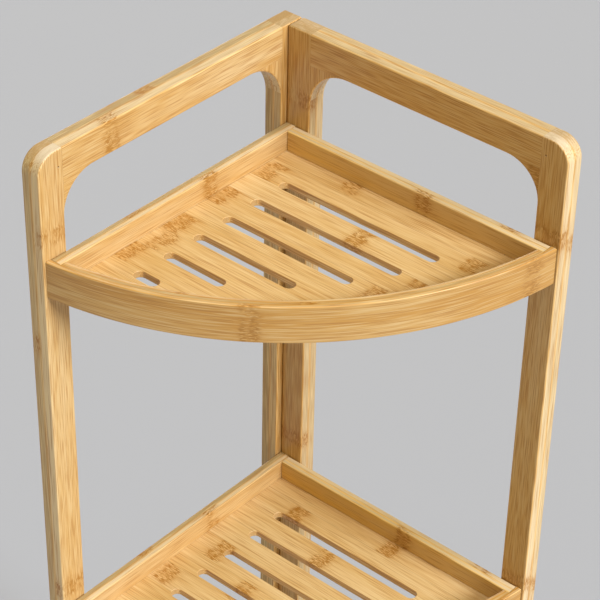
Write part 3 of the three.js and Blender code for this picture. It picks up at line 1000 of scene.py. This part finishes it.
def slot_cutter(offset, length):
    """A drain slot's cutter, flared so that the slot's edges come out eased."""
    ease = SLOT_EDGE_EASE
    top, bottom = -PANEL_DEPTH, -PANEL_DEPTH - PANEL_THICKNESS
    turns = [math.pi / 2 * i / EASE_STEPS for i in range(EASE_STEPS + 1)]
    flare = [(bottom - MM, ease)]
    flare += [(bottom + ease * (1 - math.cos(a)), ease * (1 - math.sin(a))) for a in turns]
    flare += [(top + bottom - z, grow) for z, grow in reversed(flare)]
    rings = []
    for z, grow in flare:
        radius = SLOT_WIDTH / 2 + grow
        ends = (SLOT_START + SLOT_WIDTH / 2, SLOT_START + length - SLOT_WIDTH / 2)
        outline = arc((ends[1], -offset), radius, -1, 1, 2 * ARC_STEPS)
        outline += arc((ends[0], -offset), radius, 1, 3, 2 * ARC_STEPS)
        rings.append([(p.x, p.y, z) for p in outline])
    return skin(rings)


def panel_mesh():
    """The panel as one flat board with its drain slots cut out."""
    edge = SIDE_RAIL_FACE - GROOVE_DEPTH + GAP
    radius = FRONT_RADIUS - FRONT_RAIL_THICKNESS + GROOVE_DEPTH - GAP
    angle = math.asin((edge + ARC_SETBACK) / radius) / (math.pi / 2)
    outline = [Vector((edge, -edge))] + arc(ARC_CENTRE.xy, radius, -1 + angle, -angle, PANEL_FRONT_STEPS)
    top, bottom = -PANEL_DEPTH, -PANEL_DEPTH - PANEL_THICKNESS
    slab_mesh = skin([[(p.x, p.y, z) for p in outline] for z in (bottom, top)])
    cutters = [slot_cutter(FIRST_SLOT_OFFSET + i * SLOT_PITCH, length)
               for i, length in enumerate(SLOT_LENGTHS)]
    return carve(slab_mesh, cutters)


# Tone, node place and sometimes node spacing of each strip of a panel, from the right frame
# to the curved front.
PANEL_STRIPS = {
    "top_tray": [(0.60, 0.070), (0.64, 0.019, 0.165), (0.72, 0.112), (0.66, 0.015, 0.157),
                 (0.64, 0.157), (0.54, 0.016), (0.70, 0.022), (0.58, 0.014), (0.62, 0.250),
                 (0.54, 0.100)],
    # The middle tray's strips are paler than the others: painted light that makes up for the shade the top
    # tray casts on it.
    "middle_tray": [(0.76, 0.120), (0.80, 0.045), (0.76, 0.090), (0.68, 0.150), (0.74, 0.030),
                    (0.60, 0.070), (0.74, 0.018), (0.56, 0.110), (0.70, 0.040), (0.72, 0.100)],
    "bottom_tray": [(0.60, 0.030), (0.66, 0.160), (0.60, 0.100), (0.56, 0.050), (0.66, 0.130),
                    (0.60, 0.080), (0.64, 0.025), (0.58, 0.060), (0.66, 0.090), (0.60, 0.100)],
}
# Tone, node place and sometimes node spacing of the plies of the rails, from the tray side
# outwards.
LEFT_RAIL_PLIES = [(0.82, 0.0845), (0.10, 0.150)]
RIGHT_RAIL_PLIES = [(0.74, 0.125), (1.05, 0.190)]
FRONT_RAIL_PLIES = [(0.62, 0.120), (0.20, 0.200), (0.53, 0.166, 0.186)]


def plies_of(thickness, tones):
    """Sticks of equal thickness, numbered from the tray side outwards."""
    step = thickness / len(tones)
    return [Stick(i * step, (i + 1) * step, *looks) for i, looks in enumerate(tones)]


Tray = namedtuple("Tray", "name seed place to_local")

# Three functions of a point: its place in the grain, its place between the sticks' sides,
# and the direction of the grain.
Grain = namedtuple("Grain", "place split direction")


def tray_holes(tray, *keys):
    return screw_holes([f"{tray.name}_screw_{key}" for key in keys], tray.to_local)


def add_tray_piece(tray, part, mesh, grain, sticks, seed, material, slot):
    """Dresses a piece of a tray and puts it in its place."""
    def ply_of(face):
        if slot == "rail_bamboo":
            return 1
        # Upright panel faces, such as slot walls, get -1 and with it painted shade.
        return -1 if abs(face.normal.z) < WALL_LIMIT else 0

    mesh.normal_update()
    dress(mesh, grain.place, grain.split, sticks, tray.seed + seed, ply_of)
    node = f"{tray.name}_{part}"
    finish_piece(mesh, node + "_look", [node], material, tray.place, grain.direction)


def build_left_rail(tray):
    plies = plies_of(SIDE_RAIL_THICKNESS, LEFT_RAIL_PLIES)
    rail = straight_rail(plies, GAP, SIDE_RAIL_END, Vector((-1, 0, 0)), Vector((0, -1, 0)))
    rail = carve(rail, tray_holes(tray, "left_front", "corner"))
    grain = Grain(
        place=lambda p: (-p.y, p.z, p.x),
        split=lambda p: SIDE_RAIL_FACE - p.x,
        direction=lambda p: Vector((0, 1, 0)),
    )
    add_tray_piece(tray, "left_rail", rail, grain, plies, 0, left_rail_bamboo, "rail_bamboo")


def build_right_rail(tray):
    plies = plies_of(SIDE_RAIL_THICKNESS, RIGHT_RAIL_PLIES)
    start = SIDE_RAIL_FACE + GAP
    rail = straight_rail(plies, start, SIDE_RAIL_END, Vector((0, 1, 0)), Vector((1, 0, 0)))
    rail = carve(rail, tray_holes(tray, "right_front", "right_back"))
    grain = Grain(
        place=lambda p: (p.x, p.z, p.y),
        split=lambda p: SIDE_RAIL_FACE + p.y,
        direction=lambda p: Vector((1, 0, 0)),
    )
    add_tray_piece(tray, "right_rail", rail, grain, plies, 1, right_rail_bamboo, "rail_bamboo")


def build_front_rail(tray):
    def around(p):
        arm = p - ARC_CENTRE
        return math.atan2(arm.x, -arm.y) * FRONT_RADIUS

    def outwards(p):
        return (p - ARC_CENTRE).xy.length - FRONT_RADIUS + FRONT_RAIL_THICKNESS

    def along_arc(p):
        arm = p - ARC_CENTRE
        return Vector((-arm.y, arm.x, 0)).normalized()

    plies = plies_of(FRONT_RAIL_THICKNESS, FRONT_RAIL_PLIES)
    grain = Grain(
        place=lambda p: (around(p), p.z, outwards(p)),
        split=outwards,
        direction=along_arc,
    )
    add_tray_piece(
        tray, "front_rail", curved_rail(plies), grain, plies, 2, front_rail_bamboo, "rail_bamboo")


def build_panel(tray):
    panel = panel_mesh()
    strips = []
    for i, looks in enumerate(PANEL_STRIPS[tray.name]):
        start = FIRST_STRIP_EDGE + i * STRIP_WIDTH
        strips.append(Stick(start, start + STRIP_WIDTH, *looks))
        split(panel, (0, -start, 0), (0, 1, 0))
    grain = Grain(
        place=lambda p: (p.x, p.y, p.z),
        split=lambda p: -p.y,
        direction=lambda p: Vector((1, 0, 0)),
    )
    add_tray_piece(tray, "slotted_panel", panel, grain, strips, 3, panel_bamboo, "panel_bamboo")


FIRST_TRAY_SEED = 20
TRAY_SEED_STEP = 10               # between the seeds of two trays


def build_tray(number, name):
    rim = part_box(name + "_left_rail")[1].z
    place = Matrix.Translation(CORNER + Vector((0, 0, rim)))
    tray = Tray(name, FIRST_TRAY_SEED + TRAY_SEED_STEP * number, place, place.inverted())
    build_left_rail(tray)
    build_right_rail(tray)
    build_front_rail(tray)
    build_panel(tray)


for frame_number, frame_side in enumerate(SIDES):
    build_frame(frame_number, frame_side)
for tray_number, tray_name in enumerate(TRAY_NAMES):
    build_tray(tray_number, tray_name)
build_fasteners()
build_foot_pads()

# ---------------------------------------------------------------- floor, light and camera

FLOOR_SIZE = 60
FLOOR_COLOUR = (0.45, 0.486, 0.545, 1)
ROOM_COLOUR = (1.0, 0.72, 0.23, 1)
ROOM_STRENGTH = 0.41


def build_floor():
    mesh = bmesh.new()
    bmesh.ops.create_grid(mesh, x_segments=1, y_segments=1, size=FLOOR_SIZE / 2)
    data = bpy.data.meshes.new("floor")
    mesh.to_mesh(data)
    mesh.free()
    floor = bpy.data.objects.new("floor", data)
    bpy.context.scene.collection.objects.link(floor)
    material, shader = new_material("floor")
    shader.inputs["Base Color"].default_value = FLOOR_COLOUR
    shader.inputs["Roughness"].default_value = 0.75
    data.materials.append(material)


def add_sun(name, direction, width, strength, colour):
    """Light from a studio source of some degrees' width, equally bright everywhere."""
    light = bpy.data.lights.new(name, "SUN")
    light.angle = math.radians(width)
    light.energy = strength
    light.color = colour
    lamp = bpy.data.objects.new(name, light)
    bpy.context.scene.collection.objects.link(lamp)
    lamp.rotation_mode = "QUATERNION"
    lamp.rotation_quaternion = Vector(direction).to_track_quat("Z", "Y")


def set_world(colour, strength):
    """Even light from all sides."""
    world = bpy.data.worlds.new("studio")
    world.use_nodes = True
    background = world.node_tree.nodes["Background"]
    background.inputs["Color"].default_value = colour
    background.inputs["Strength"].default_value = strength
    bpy.context.scene.world = world


CAMERA_TARGET = Vector((0.0126, -0.0160, 0.700))
CAMERA_DISTANCE = 1.370
CAMERA_AZIMUTH = 40.09            # degrees, 0 looks along +Y
CAMERA_ELEVATION = 35.94
CAMERA_ROLL = 1.28
CAMERA_LENS = 133.0               # mm
CAMERA_SENSOR = 36                # mm wide


def add_camera():
    azimuth, elevation = math.radians(CAMERA_AZIMUTH), math.radians(CAMERA_ELEVATION)
    level = math.cos(elevation)
    back = Vector((math.sin(azimuth) * level, -math.cos(azimuth) * level, math.sin(elevation)))
    data = bpy.data.cameras.new("camera")
    data.lens = CAMERA_LENS
    data.sensor_width = CAMERA_SENSOR
    camera = bpy.data.objects.new("camera", data)
    bpy.context.scene.collection.objects.link(camera)
    camera.location = CAMERA_TARGET + back * CAMERA_DISTANCE
    camera.rotation_mode = "QUATERNION"
    roll = Matrix.Rotation(math.radians(CAMERA_ROLL), 4, "Z").to_quaternion()
    camera.rotation_quaternion = back.to_track_quat("Z", "Y") @ roll
    bpy.context.scene.camera = camera


build_floor()
add_sun("key", direction=(1.0, 0.06, 0.58), width=20, strength=3.45, colour=(0.98, 1.0, 1.10))
add_sun("top", direction=(0.2, -0.25, 1.0), width=28, strength=0.75, colour=(0.90, 1.0, 1.20))
add_sun("back", direction=(-0.9, 0.7, 0.1), width=28, strength=0.8, colour=(1.0, 1.0, 1.0))
set_world(ROOM_COLOUR, ROOM_STRENGTH)
add_camera()
bpy.context.scene.view_settings.view_transform = "Standard"
